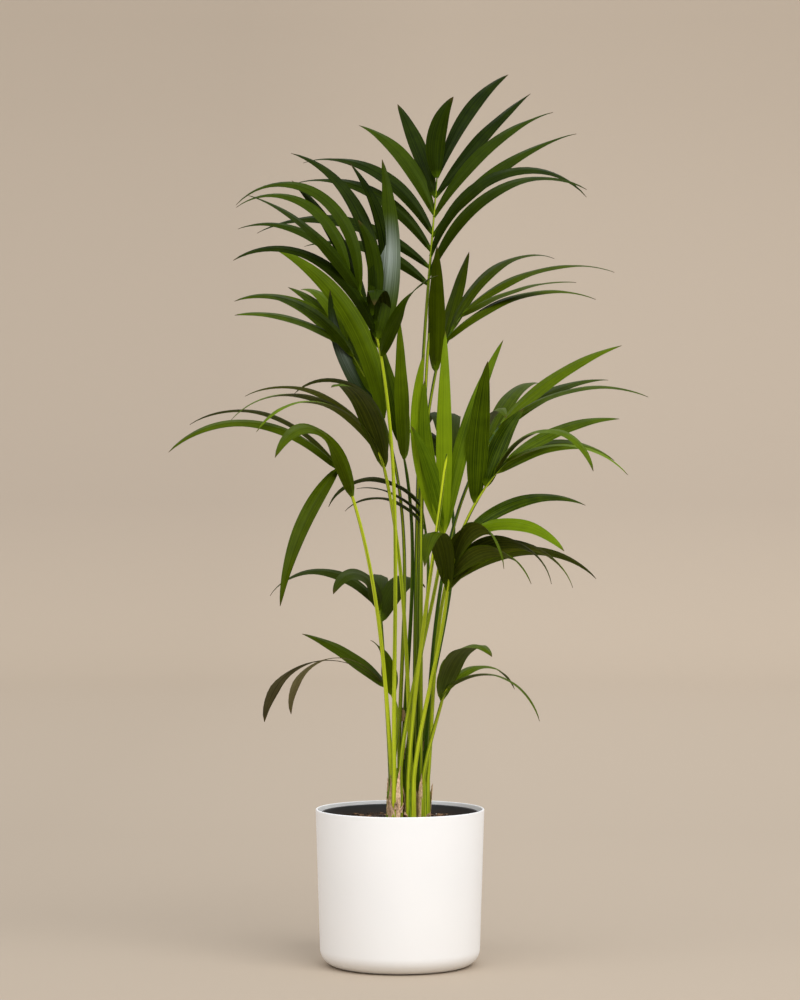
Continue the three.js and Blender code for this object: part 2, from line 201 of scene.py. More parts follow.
corner_centre = PLANTER_LOW - PLANTER_CORNER
inner_corner = PLANTER_CORNER - PLANTER_WALL
round_rim = PLANTER_WALL / 2
planter_stations = [(PLANTER_UNDERSIDE, 0.0)]
planter_stations += arc(corner_centre, PLANTER_CORNER, PLANTER_CORNER, -90, 0, 12)
planter_stations += arc(PLANTER_RIM - round_rim, PLANTER_HEIGHT - round_rim, round_rim, 0, 180, 10)
planter_stations += arc(corner_centre, PLANTER_FLOOR + inner_corner, inner_corner, 0, -90, 8)
planter = turn_up("planter_shell", planter_stations, 144)

# Matt white moulded polypropylene: a soft sheen that varies a little in broad patches, and the
# very fine spark-eroded grain that the mould leaves.
white_polypropylene, tree, shader = new_material("polypropylene_matt_white_moulded")
place = add_node(tree, "TexCoord").outputs["Object"]
cloud = add_node(tree, "TexNoise", {"Vector": place, "Scale": 9, "Detail": 2})
tint = add_node(tree, "Mix", {"Factor": cloud, MIX_A: "f6f8fa", MIX_B: "fcfdfe"})
gloss = add_node(tree, "MapRange", {"Value": cloud, "To Min": 0.40, "To Max": 0.50})
# The grain is about 0.8 mm, coarser than the mould's, so that it shows.
grain = add_node(tree, "TexNoise", {"Vector": place, "Scale": 1300, "Detail": 1})
relief = add_node(tree, "Bump", {"Strength": 0.12, "Distance": 0.0001, "Height": grain})
set_inputs(shader, {"Base Color": tint, "Roughness": gloss, "Normal": relief})
planter.data.materials.append(white_polypropylene)
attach(planter, "root")
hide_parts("planter")

# ----------------------
# Grower's pot: thin dark grey polypropylene, blown with a band round its rim. It stands inside
# the planter, and only its rim and the inside above the soil can be seen.
NURSERY_RIM, NURSERY_LOW, NURSERY_WALL = 0.138, 0.108, 0.002
NURSERY_BASE, NURSERY_TOP = 0.0053, 0.2675
NURSERY_LIP, NURSERY_LIP_HEIGHT = 0.0022, 0.016

# Up the outside with a small step at each edge, over the rolled lip and down the inside.
lip_foot = NURSERY_TOP - NURSERY_LIP_HEIGHT
lip_round = (NURSERY_LIP + NURSERY_WALL) / 2
nursery_stations = [
    (NURSERY_LOW - 0.004, NURSERY_BASE), (NURSERY_LOW, NURSERY_BASE + 0.003),
    (NURSERY_RIM - NURSERY_LIP, lip_foot - 0.0012), (NURSERY_RIM - 0.0006, lip_foot - 0.0004),
    (NURSERY_RIM, lip_foot + 0.0006),
]
nursery_stations += arc(NURSERY_RIM - lip_round, NURSERY_TOP - lip_round, lip_round, 0, 180, 8)
nursery_stations += [
    (NURSERY_RIM - 2 * lip_round, lip_foot), (NURSERY_LOW - NURSERY_WALL, NURSERY_BASE + 0.0024),
]
nursery = turn_up("nursery_pot_shell", nursery_stations, 120)

# Dark grey recycled polypropylene: dull, with faint rings from its mould and dried soil dust
# that fades upwards from the soil line.
grey_polypropylene, tree, shader = new_material("polypropylene_dark_grey_blown")
place = add_node(tree, "TexCoord").outputs["Object"]
height_of = add_node(tree, "SeparateXYZ", {"Vector": place}).outputs["Z"]
dust_height = add_node(
    tree, "MapRange",
    {"Value": height_of, "From Min": 0.251, "From Max": 0.264, "To Min": 0.75, "To Max": 0.0})
dust_cloud = add_node(tree, "TexNoise", {"Vector": place, "Scale": 160, "Detail": 4})
dust = add_node(tree, "Math", (dust_height, dust_cloud), operation="MULTIPLY")
tint = add_node(tree, "Mix", {"Factor": dust, MIX_A: "2f3133", MIX_B: "5a4838"})
rings = add_node(
    tree, "TexWave", {"Vector": place, "Scale": 250, "Distortion": 0.4}, bands_direction="Z")
relief = add_node(
    tree, "Bump", {"Strength": 0.2, "Distance": 0.0002, "Height": rings.outputs["Fac"]})
set_inputs(shader, {"Base Color": tint, "Roughness": 0.55, "Normal": relief})
nursery.data.materials.append(grey_polypropylene)
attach(nursery, "root")
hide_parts("nursery_pot")

# ----------------------
# Soil: moist peat potting mix, pressed level by watering, with crumbs, bark chips and a little
# perlite on top. It fills the grower's pot up to the band.
SOIL_TOP, SOIL_EDGE, SOIL_UNDERSIDE = 0.252, 0.2505, 0.226
SOIL_EDGE_RADIUS, SOIL_FLAT, SOIL_RINGS = 0.1345, 0.090, 46
SOIL_LUMP, SOIL_LUMPS_PER_METRE = 0.0016, 90

soil_stations = [(SOIL_EDGE_RADIUS - 0.003, SOIL_UNDERSIDE), (SOIL_EDGE_RADIUS, SOIL_EDGE)]
for ring in range(1, SOIL_RINGS):
    radius = SOIL_EDGE_RADIUS * (1 - ring / SOIL_RINGS)
    rise = min(1, (SOIL_EDGE_RADIUS - radius) / (SOIL_EDGE_RADIUS - SOIL_FLAT))
    soil_stations.append((radius, SOIL_EDGE + (SOIL_TOP - SOIL_EDGE) * rise))
soil = turn_up("soil_bed", soil_stations, 110)
for vertex in soil.data.vertices:
    if vertex.co.z > SOIL_EDGE - 0.001:
        vertex.co.z += SOIL_LUMP * noise.fractal(vertex.co * SOIL_LUMPS_PER_METRE, 0.8, 2.1, 4)
soil.data.update()
bpy.ops.object.shade_smooth()

# Moist peat: dull dark brown crumbs of one to three millimetres, paler in patches that have dried.
peat, tree, shader = new_material("peat_potting_mix_moist")
place = add_node(tree, "TexCoord").outputs["Object"]
crumbs = add_node(tree, "TexVoronoi", {"Vector": place, "Scale": 420})
patches = add_node(tree, "TexNoise", {"Vector": place, "Scale": 45, "Detail": 6})
tint = add_node(tree, "ValToRGB", {"Fac": patches}, ((0.32, "1d130c"), (0.68, "5c432c")))
relief = add_node(tree, "Bump", {"Strength": 0.8, "Distance": 0.0012, "Height": crumbs})
set_inputs(shader, {"Base Color": tint, "Roughness": 0.92, "Normal": relief})
soil.data.materials.append(peat)
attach(soil, "root")
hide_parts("soil")


STREWN_RADIUS, STREWN_LIFT = 0.131, 0.12


def scatter(name, count, smallest, largest, flatness, length, seed):
    """Lumps strewn on the soil, joined in one mesh: one rough lump, copied, squashed and turned."""
    bpy.ops.object.select_all(action="DESELECT")
    bpy.ops.mesh.primitive_ico_sphere_add(subdivisions=1, radius=0.5)
    piece = bpy.context.object
    piece.name = name
    shape = [vertex.co.copy() for vertex in piece.data.vertices]
    faces = [tuple(face.vertices) for face in piece.data.polygons]
    dice = random.Random(seed)
    all_points, all_faces = [], []
    for _ in range(count):
        radius = STREWN_RADIUS * math.sqrt(dice.random())
        heading = dice.uniform(0, math.tau)
        size = dice.uniform(smallest, largest)
        spot = radius * math.cos(heading), radius * math.sin(heading), SOIL_TOP + size * STREWN_LIFT
        turned = (
            Matrix.Translation(spot)
            @ Matrix.Rotation(dice.uniform(0, math.tau), 4, "Z")
            @ Matrix.Rotation(dice.uniform(-0.5, 0.5), 4, "X")
            @ Matrix.Diagonal((size * length, size, size * flatness, 1)))
        start = len(all_points)
        all_points += [turned @ (corner * dice.uniform(0.75, 1.2)) for corner in shape]
        all_faces += [tuple(start + corner for corner in face) for face in faces]
    piece.data.clear_geometry()
    piece.data.from_pydata(all_points, [], all_faces)
    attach(piece, "root")
    return piece


soil_crumbs = scatter("soil_crumbs", 1500, 0.0015, 0.0050, 0.7, 1.1, 5)
soil_crumbs.data.materials.append(peat)
bark_chips = scatter("bark_chips", 130, 0.0035, 0.0080, 0.35, 1.9, 8)
perlite = scatter("perlite_grains", 60, 0.0015, 0.0030, 0.9, 1.0, 13)

# Pine bark chips and dry leaf shreds: tan, split along the grain.
bark, tree, shader = new_material("pine_bark_chips_dry")
place = add_node(tree, "TexCoord").outputs["Object"]
split = add_node(tree, "TexNoise", {"Vector": place, "Scale": 240, "Detail": 3})
tint = add_node(tree, "ValToRGB", {"Fac": split}, ((0.35, "5b3d25"), (0.65, "b48a5e")))
set_inputs(shader, {"Base Color": tint, "Roughness": 0.85})
bark_chips.data.materials.append(bark)

# Perlite: puffed volcanic glass, chalky white with peat dust in its pores.
perlite_glass, tree, shader = new_material("perlite_puffed_white")
place = add_node(tree, "TexCoord").outputs["Object"]
pores = add_node(tree, "TexVoronoi", {"Vector": place, "Scale": 1400})
tint = add_node(tree, "ValToRGB", {"Fac": pores}, ((0, "8f8375"), (0.5, "d8d2c6")))
set_inputs(shader, {"Base Color": tint, "Roughness": 0.9})
perlite.data.materials.append(perlite_glass)

# ----------------------
# Stems: short upright trunks of six seedlings. Each is a slim core that its leaf stalks clasp,
# lobed where they lie against it. Old bases dry to brown, new ones are still green.
# A stem's hidden root end is 3 mm under the soil's surface. NO_TIP is the distance left to a leaf
# tip in mm, for stems and stalks, which have none.
STEM_ROOT = 249.3
STEM_FOOT, STEM_WAIST, STEM_TOP, STEM_WAIST_AT = 8.2, 6.8, 6.2, 0.35
STEM_LOBE, STEM_RIB, NO_TIP = 0.14, 0.02, 1000

# Name, x, y and height of the top in mm, and how green it still is from 0 to 1.
STEMS = {
    "outer_left": (-16, 5, 312, 0.75),
    "front": (-6, -17, 345, 0.55),
    "rear": (5, 20, 330, 0.60),
    "middle": (20, -8, 322, 0.95),
    "outer_right": (42, -2, 325, 0.70),
    "rear_right": (30, 24, 350, 0.60),
}


def mesh_piece(name, parts, material, nodes=()):
    """One piece from closed skins. A part is its rings of points in mm, for each point a place
    across and along and the length left to the tip in mm, and a tone from 0 dark to 1 bright."""
    points, faces, places, tones, left = [], [], [], [], []
    for rings, spots, tone in parts:
        sides = len(rings[0])
        start = len(points)
        end = start + (len(rings) - 1) * sides
        for ring in range(start, end, sides):
            for side in range(sides):
                a, b = ring + side, ring + (side + 1) % sides
                faces.append((a, b, b + sides, a + sides))
        faces.append(tuple(range(start + sides - 1, start - 1, -1)))
        faces.append(tuple(range(end, end + sides)))
        for ring, ring_spots in zip(rings, spots):
            points += [tuple(corner * 0.001) for corner in ring]
            places += [spot[:2] for spot in ring_spots]
            left += [spot[2] for spot in ring_spots]
        tones += [tone] * (len(points) - start)
    mesh = bpy.data.meshes.new(name)
    mesh.from_pydata(points, [], faces)
    layer = mesh.uv_layers.new(name="growth")
    for loop in mesh.loops:
        layer.data[loop.index].uv = places[loop.vertex_index]
    mesh.attributes.new("tone", "FLOAT", "POINT").data.foreach_set("value", tones)
    mesh.attributes.new("to_tip", "FLOAT", "POINT").data.foreach_set("value", left)
    mesh.materials.append(material)
    piece = bpy.data.objects.new(name, mesh)
    bpy.context.scene.collection.objects.link(piece)
    bpy.ops.object.select_all(action="DESELECT")
    piece.select_set(True)
    bpy.context.view_layer.objects.active = piece
    bpy.ops.object.mode_set(mode="EDIT")
    bpy.ops.mesh.select_all(action="SELECT")
    bpy.ops.mesh.normals_make_consistent(inside=False)
    bpy.ops.object.mode_set(mode="OBJECT")
    bpy.ops.object.shade_smooth_by_angle(angle=math.radians(60))
    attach(piece, "root")
    if nodes:
        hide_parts(*nodes)


def way(heading, rise):
    """The direction with this heading, risen this far above level, in degrees."""
    level = math.cos(math.radians(rise))
    return Vector((
        level * math.cos(math.radians(heading)), level * math.sin(math.radians(heading)),
        math.sin(math.radians(rise))))


def drawn_out_noise(tree, growth, stretch, scale, detail):
    """Noise over a piece's growth across and along, in mm, drawn out along it."""
    place = add_node(tree, "Mapping", {"Vector": growth, "Scale": (1.0, stretch, 1)})
    return add_node(tree, "TexNoise", {"Vector": place, "Scale": scale, "Detail": detail})


# Leaf bases: woody fibres run up the stem about every millimetre, tan where dry and olive green
# where the base is alive, darker in the hollows between them.
leaf_base, tree, shader = new_material("palm_leaf_base_fibrous")
growth = add_node(tree, "UVMap", uv_map="growth")
fibres = drawn_out_noise(tree, growth, 0.06, 0.9, 5)
blotches = drawn_out_noise(tree, growth, 0.3, 0.11, 3)
dry = add_node(tree, "ValToRGB", {"Fac": fibres}, ((0.36, "46341c"), (0.62, "b48e60")))
alive = add_node(tree, "ValToRGB", {"Fac": fibres}, ((0.30, "3c5a0a"), (0.70, "88a81a")))
tone = add_node(tree, "Attribute", attribute_name="tone").outputs["Fac"]
edge = add_node(tree, "Math", (tone, blotches), operation="ADD")
life = add_node(tree, "MapRange", {"Value": edge, "From Min": 0.92, "From Max": 1.12})
tint = add_node(tree, "Mix", {"Factor": life, MIX_A: dry, MIX_B: alive})
relief = add_node(tree, "Bump", {"Strength": 0.7, "Distance": 0.0006, "Height": fibres})
set_inputs(
    shader, {"Base Color": tint, "Roughness": 0.7, "Specular IOR Level": 0.2, "Normal": relief})


def stem_skin(x, y, top, seed):
    """A lobed stem: waisted above its foot, with shallow ribs, closing in under its top."""
    dice = random.Random(seed)
    turn = dice.uniform(0, math.tau)
    sides, steps = 36, 24
    rings, spots = [], []
    for step in range(steps + 1):
        u = step / steps
        if u < STEM_WAIST_AT:
            radius = STEM_FOOT + (STEM_WAIST - STEM_FOOT) * u / STEM_WAIST_AT
        else:
            rise = (u - STEM_WAIST_AT) / (1 - STEM_WAIST_AT)
            radius = STEM_WAIST + (STEM_TOP - STEM_WAIST) * rise
        height = STEM_ROOT + (top - STEM_ROOT) * u
        ring, ring_spots = [], []
        for side in range(sides):
            angle = math.tau * side / sides
            lap = math.sin(angle * 3 + turn + u * 1.4) * STEM_LOBE
            lap += math.sin(angle * 11 + turn * 3) * STEM_RIB
            closing = 1 - 0.6 * max(0, u - 0.8) / 0.2
            reach = radius * (1 + lap) * closing
            ring.append(Vector((x + reach * math.cos(angle), y + reach * math.sin(angle), height)))
            ring_spots.append((STEM_TOP * angle, height, NO_TIP))
        rings.append(ring)
        spots.append(ring_spots)
    return rings, spots


for number, (name, (x, y, top, green)) in enumerate(STEMS.items()):
    mesh_piece(
        "stem_core_" + name, [(*stem_skin(x, y, top, number), green)], leaf_base,
        ("stem_" + name,))

# ----------------------
# Old sheaths: dead leaf bases that wrap the stems as papery shells, split to a ragged point and
# curling off, with torn scraps caught round the foot and on two of the inner stalks.
SHEATH_THICK = 0.5

# x and y of the middle line, radius, heading it faces, wrap in degrees, foot and top height, how
# far its point leans aside and stands off, all in mm, and its tone.
SHEATHS = (
    (-4, -17, 9.6, 262, 66, 250, 348, (7, 0), 0.5, 0.95),
    (-13.5, 3, 9.0, 252, 64, 250, 331, (-1, -1), 0.8, 0.62),
    (-14, 5, 9.4, 120, 120, 250, 322, (0, 3), 1.5, 0.60),
    (18, -8, 9.0, 190, 70, 250, 312, (-3, 0), 1.5, 0.35),
    (20, -8, 11.4, 60, 110, 250, 306, (3, 4), 2.0, 0.50),
    (40, -2, 9.4, 232, 90, 250, 334, (3, -1), 1.5, 0.80),
    (42, -2, 11.4, 35, 100, 250, 312, (2, 3), 2.0, 0.45),
    (5, 20, 11.4, 95, 170, 250, 342, (-2, 3), 2.0, 0.70),
    (5, 20, 11.0, 275, 60, 250, 300, (1, -2), 2.0, 0.20),
    (30, 24, 11.4, 60, 160, 250, 338, (4, 4), 2.0, 0.65),
    (30, 24, 11.0, 190, 70, 250, 310, (-2, 0), 2.0, 0.30),
    (-7, -17, 10.4, 236, 46, 262, 291, (-3, -2), 2.0, 0.90),
    (-6, -17, 10.8, 312, 44, 268, 285, (4, -3), 3.0, 0.92),
    (-7, -17, 11.2, 270, 40, 274, 288, (3, -3), 3.0, 0.70),
    (-14, 4, 9.8, 225, 34, 262, 292, (-1, 0), 1.5, 0.55),
    (20, -8, 11.6, 228, 40, 250, 268, (-2, -3), 5.0, 0.50),
    (42, -2, 11.4, 300, 45, 250, 266, (3, -4), 4.0, 0.60),
    (30, 24, 12.0, 100, 70, 250, 282, (2, 4), 6.0, 0.70),
    (5, 25.8, 4.7, 262, 210, 357, 391, (1, -1), 2.0, 0.45),
    (5.5, 25.6, 4.5, 250, 230, 424, 447, (0, 1), 1.0, 0.30),
    (37, 19, 4.8, 70, 200, 372, 398, (1, 2), 2.0, 0.50),
)


def sheath_skin(x, y, radius, heading, wrap, foot, top, lean, stand_off, dice):
    """A curved shell that narrows to a ragged point; its outer face comes first in each ring."""
    steps, across = 16, 12
    rings, spots = [], []
    phase = dice.uniform(0, math.tau)
    for step in range(steps + 1):
        u = step / steps
        half = math.radians(wrap) / 2 * max(0.04, 1 - u ** 1.8)
        middle = math.radians(heading) + 0.18 * math.sin(u * 5 + phase) * u
        outer, inner, ring_spots = [], [], []
        for place in range(across + 1):
            share = place / across * 2 - 1
            turn = middle + half * share
            ragged = dice.uniform(-0.5, 0.5) * (0.3 + u)
            ragged += 1.4 * math.sin(share * 9 + phase + u * 4) * u
            height = foot + (top - foot) * u + ragged * 2.2 * abs(share)
            reach = radius + stand_off * u ** 3 + 0.9 * abs(share) ** 3 * (0.3 + u) + 0.3 * ragged
            ring_spots.append((radius * half * share, height, (1 - u) * (top - foot)))
            for side, pull in (outer, 0), (inner, SHEATH_THICK):
                side.append(Vector((
                    x + lean[0] * u ** 1.5 + (reach - pull) * math.cos(turn),
                    y + lean[1] * u ** 1.5 + (reach - pull) * math.sin(turn), height)))
        rings.append(outer + inner[::-1])
        spots.append(ring_spots + ring_spots[::-1])
    return rings, spots


# Dead sheath: dull paper-thin skin with close brown fibres along it and dark flecks of scurf,
# bleached to tan on some scraps and still brown on others.
papery, tree, shader = new_material("palm_sheath_papery_dead")
growth = add_node(tree, "UVMap", uv_map="growth")
fibres = drawn_out_noise(tree, growth, 0.08, 1.1, 4)
flecks = add_node(tree, "TexNoise", {"Vector": growth, "Scale": 0.22, "Detail": 5})
tone = add_node(tree, "Attribute", attribute_name="tone").outputs["Fac"]
tan = add_node(tree, "Mix", {"Factor": tone, MIX_A: "b88e62", MIX_B: "ffdfba"})
brown = add_node(tree, "Mix", {"Factor": tone, MIX_A: "38240f", MIX_B: "9a7046"})
grain = add_node(tree, "Math", (flecks, 0.4, fibres), operation="MULTIPLY_ADD")
mottle = add_node(tree, "MapRange", {"Value": grain, "From Min": 0.50, "From Max": 0.74})
tint = add_node(tree, "Mix", {"Factor": mottle, MIX_A: brown, MIX_B: tan})
relief = add_node(tree, "Bump", {"Strength": 0.9, "Distance": 0.0012, "Height": grain})
set_inputs(
    shader, {"Base Color": tint, "Roughness": 0.8, "Specular IOR Level": 0.2, "Normal": relief})

dice = random.Random(21)
sheaths = [(*sheath_skin(*form, dice), tone_value) for *form, tone_value in SHEATHS]
mesh_piece("old_sheaths", sheaths, papery)

# ----------------------
# Leaf stalks: each frond has a long smooth stalk that clasps its stem with its foot and goes on as
# the midrib of the blade. The midrib's leaflets grow in rows that arch over, set out here too.
STALK_RING, STALK_FOOT, STALK_HEAD, STALK_FOOT_SWELL, STALK_GROOVE = 6.5, 4.1, 2.9, 0.18, 0.3
STALK_FOOT_STEPS, STALK_STEPS, STALK_SIDES, STALK_OFF_STEM = 8, 30, 14, 0.3
RACHIS_FOOT, RACHIS_TIP, RACHIS_STEP = 2.8, 1.3, 12


def row(at, heading, rise, droop, length, width, level=0.8, faces=None, widest=0.45, look=None):
    """One row of leaflets: lists from the first to the last, in degrees and mm. Faces is the
    heading that their upper sides look to, level how far these turn to the sky at the tip."""
    return dict(
        count=max(map(len, (heading, rise, droop, length))), at=at, heading=heading, rise=rise,
        droop=droop, length=length, width=width, level=level, faces=faces, widest=widest, look=look)


def frond(stem, side, head, heading, lean, rachis, rows, faces=None, tone=0.5, look="green"):
    """A frond: where its stalk stands, where its blade begins, how it leans, and its leaflets."""
    return dict(
        stem=stem, side=side, head=head, heading=heading, lean=lean, rachis=rachis, rows=rows,
        faces=heading + 180 if faces is None else faces, tone=tone, look=look)


# A frond's tone sets how light its stalk is painted. The stalks at the back of the clump, of
# centre, centre_left, back and far_right, have the lowest tones: painted shade. The others are
# lighter or darker stalk by stalk.
FRONDS = {
    "top": frond("rear_right", 200, (49, 42, 1183), 20, (5, 5), 200, [
        row((0.12, 1), (-30, 40), (64, 71, 52, 60, 53, 66), (93, 121, 38, 43, 17, 38),
            (382, 366, 318, 297, 274, 266), (28, 27), widest=0.6),
        row((0.05, 0.82), (165, 158, 162, 120), (42, 40, 56, 61, 66, 60),
            (56, 64, 73, 74, 46, 15), (250, 355, 325, 300, 242, 225), (23, 28), widest=0.52),
        row((1, 1), (-15,), (99,), (48,), (150,), (34,), level=0.15, widest=0.5),
    ], faces=262, tone=0.35, look="dark_green"),
    "upper_left": frond("front", 235, (-31, -50, 1052), 205, (10, 42), 205, [
        row((0.15, 0.95), (195, 152, 154, 156, 158, 160), (105, 97, 69, 91, 77, 44),
            (56, 81, 27, 133, 109, 61), (331, 386, 274, 370, 292, 208), (26, 19),
            faces=268, level=0.5, widest=0.48),
        row((0.04, 0.04), (300,), (55,), (50,), (240,), (31,), faces=255),
        row((0.12, 0.12), (265,), (110,), (175,), (180,), (40,), faces=85),
        # The upright leaflet, with a painted highlight over its lower half.
        row((0.2, 0.2), (190,), (102,), (24,), (314,), (42,), faces=265, level=0.3, widest=0.3,
            look="waxy"),
        row((0.2, 0.6), (210, 222), (66, 49), (97, 40), (348, 302), (20, 26),
            faces=268, level=0.5),
        row((0.4, 0.4), (190,), (105,), (51,), (174,), (26,), faces=268, level=0.1),
    ], tone=0.85, look="dark_green"),
    "left": frond("rear", 210, (-26, 40, 945), 165, (18, 36), 160, [
        row((0.08, 1), (165, 125), (82, 64, 57, 65), (60, 60, 38, 66), (392, 313, 237, 192),
            (36, 24), faces=265, level=0.4),
        # A leaflet with a faint painted highlight.
        row((0.08, 0.08), (172,), (50,), (-40,), (252,), (28,), faces=290, level=0.1, look="satin"),
        row((0.85, 1), (215, 225), (50, 22), (70, 30), (280, 270), (27,), faces=265, level=0.5),
    ], tone=0.45, look="light_green"),
    "centre": frond("rear", 90, (12, 24, 859), 225, (12, 20), 55, [
        row((0.5, 1), (264, 180), (66, 80), (-14, 4), (265, 200), (28, 30)),
        row((0.5, 0.5), (95,), (66,), (65,), (220,), (28,)),
    ], faces=290, tone=0.06, look="light_green"),
    "mid_left": frond("middle", 90, (-26, -15, 862), 220, (16, 40), 58, [
        row((0.15, 0.15), (250,), (58,), (71,), (305,), (42,), faces=70),
        row((0.5, 0.8), (220, 205), (53, 51), (104, 96), (318, 313), (30, 28)),
        row((0.2, 0.9), (168, 176), (99, 57), (142, 84), (273, 268), (24,)),
    ], tone=0.8, look="light_green"),
    "low_left": frond("outer_left", 300, (-80, -90, 813), 215, (20, 46), 66, [
        row((0.1, 1), (245, 205), (58, 41), (106, 84), (345, 338), (36, 27), faces=280, level=0.5),
        row((0.1, 0.7), (120, 165), (65, 55), (95, 85), (285, 322), (26,)),
        row((0.96, 0.96), (236,), (-36,), (42,), (290,), (25,), faces=310, level=0.2),
    ], tone=0.95, look="green"),
    "small_left": frond("outer_left", 90, (-33, 60, 592), 115, (8, 20), 35, [
        row((0.2, 0.9), (60, 90, 160), (60, 58, 49), (95, 100, 102), (190, 190, 244), (36, 22)),
        row((0.8, 0.8), (235,), (66,), (125,), (178,), (38,)),
    ], tone=0.4, look="olive"),
    "lowest_left": frond("front", 130, (-11, 4, 466), 175, (25, 50), 30, [
        row((0.2, 0.8), (233, 165), (84, 42), (60, 26), (122, 180), (29,), faces=280, level=0.5),
        row((1, 0.9), (203, 208), (40, 50), (128, 149), (290, 258), (16, 12),
            faces=290, level=0, widest=0.75, look="dry"),
    ], tone=0.45, look="green"),
    "lowest_right": frond("outer_right", 260, (72, -30, 460), -50, (22, 40), 30, [
        row((0.2, 1), (-60, -40), (72, 30), (105, 100), (214, 238), (50, 18), level=0.8),
        row((0.1, 0.7), (80, 40), (65, 45), (105,), (180, 190), (22,), faces=240),
    ], tone=0.62, look="brown_backed"),
    "mid_right": frond("middle", 305, (81, -70, 650), -40, (8, 38), 120, [
        row((0.06, 0.35), (330, 325, 312, 295), (55, 58, 42, 60), (123, 133, 102, 135),
            (300, 270, 232, 260), (28, 30), faces=20, level=0.7),
        row((0.1, 0.1), (260,), (60,), (117,), (298,), (38,), faces=80, look="green"),
        row((0.93, 0.93), (315,), (20,), (60,), (240,), (29,), faces=255, level=0.5),
        row((0.06, 0.15), (298, 372), (84, 38), (95, 84), (190, 292), (34, 26), look="green"),
        row((0.96, 0.96), (25,), (38,), (60,), (250,), (27,), faces=265, level=0.4),
    ], tone=0.92, look="light_green"),
    "right": frond("outer_right", 0, (129, -20, 803), -20, (30, 46), 100, [
        row((0.05, 0.05), (300,), (87,), (15,), (250,), (36,), faces=275, level=0.2),
        row((0.4, 0.4), (42,), (72,), (36,), (168,), (32,), faces=266, level=0.3),
        row((0.65, 0.9), (315, 325), (55, 26), (125, 70), (285, 268), (29, 25)),
        row((0.7, 1), (35,), (32, 30), (62, 30), (280, 265), (30, 25), faces=275, level=0.3),
    ], tone=0.66, look="light_green"),
    "far_right": frond("outer_right", 100, (138, 80, 880), 30, (30, 42), 85, [
        row((0.4, 1), (65, 40, 25), (48, 36, 42), (52, 36, 26), (290, 308, 288), (30, 26),
            faces=262, level=0.4),
        row((0.3, 0.9), (-80, -40), (50, 30), (80, 50), (215, 340), (27, 24)),
    ], faces=240, tone=0.12, look="brown_backed"),
    "upper_right": frond("rear_right", 90, (62, 60, 1035), 20, (12, 40), 122, [
        row((0.05, 1), (105, 60, 40, 20), (87, 63, 61, 39), (12, 4, 72, 54),
            (140, 207, 310, 318), (28, 26), faces=240, level=0.6),
        row((0.1, 0.1), (270,), (78,), (20,), (224,), (30,), faces=255, level=0.1),
        row((0.525, 0.95), (335, 320), (39, 23), (60, 28), (306, 262), (26, 23), faces=230),
    ], tone=0.3, look="green"),
    "young": frond("front", 350, (75, -42, 744), -50, (11, 11), 26, [
        row((0.3, 0.5), (190, 200, 38), (68, 73, 78), (-36, -22, 22), (322, 272, 366), (26,),
            level=0.3),
        row((0.6, 0.95), (85, 200), (96, 78), (24, 18), (352, 184), (26,), level=0.3),
    ], faces=270, tone=0.55, look="young"),
    "centre_left": frond("rear", 330, (47, 2, 741), 190, (6, 10), 58, [
        row((0.3, 1), (172, 174), (59, 50, 52), (105, 59, 119), (172, 138, 202), (20, 24)),
    ], tone=0.1, look="olive"),
    "back": frond("rear_right", 340, (95, 90, 777), 110, (10, 18), 95, [
        row((0.75, 1), (118, 102), (64, 72), (90, 120), (220, 250), (28,)),
        row((0.75, 1), (70, 84), (68, 74), (110, 125), (220, 240), (30,)),
    ], tone=0.08, look="olive"),
}


def along(values, u):
    """The value at u, from 0 to 1, of values spread evenly."""
    place = u * (len(values) - 1)
    first = min(int(place), max(len(values) - 2, 0))
    last = min(first + 1, len(values) - 1)
    return values[first] + (values[last] - values[first]) * (place - first)


def lean_at(leaf, at):
    """Degrees off upright at a place from 0 to 1 along the midrib."""
    return leaf["lean"][0] + (leaf["lean"][1] - leaf["lean"][0]) * at


def stalk_line(leaf, steps):
    """Points and directions up the stalk, from its foot on the stem's top to its head."""
    x, y, top, _ = STEMS[leaf["stem"]]
    foot = Vector((x, y, top + STALK_OFF_STEM)) + way(leaf["side"], 0) * STALK_RING
    head = Vector(leaf["head"])
    third = (head - foot).length / 3
    set_out = ((head - foot).normalized() + Vector((0, 0, 1))).normalized()
    come_in = way(leaf["heading"], 90 - leaf["lean"][0])
    handles = (foot, foot + set_out * third, head - come_in * third, head)
    line = []
    for step in range(steps + 1):
        t = step / steps
        a, b, c = (handles[i].lerp(handles[i + 1], t) for i in range(3))
        d, e = a.lerp(b, t), b.lerp(c, t)
        line.append((d.lerp(e, t), (e - d).normalized()))
    return line


def rachis_line(leaf, steps):
    """Points and directions along the midrib, which leans over steadily."""
    point = Vector(leaf["head"])
    line = []
    for step in range(steps + 1):
        direction = way(leaf["heading"], 90 - lean_at(leaf, step / steps))
        line.append((point.copy(), direction))
        onward = way(leaf["heading"], 90 - lean_at(leaf, (step + 0.5) / steps))
        point = point + onward * (leaf["rachis"] / steps)
    return line


def limb_skin(stations, groove):
    """Rings square to their own direction; a station is a point, its direction, radius, the way its
    inner side faces and its height. The groove runs up that side, as on a real leaf stalk."""
    rings, spots = [], []
    for point, direction, radius, face, height in stations:
        across = face.cross(direction).normalized()
        through = direction.cross(across).normalized()
        ring, ring_spots = [], []
        for side in range(STALK_SIDES):
            angle = math.tau * side / STALK_SIDES
            dent = groove * max(0, math.sin(angle)) ** 4
            offset = across * math.cos(angle) + through * math.sin(angle) * (1 - dent)
            ring.append(point + offset * radius)
            ring_spots.append((radius * angle, height, NO_TIP))
        rings.append(ring)
        spots.append(ring_spots)
    return rings, spots


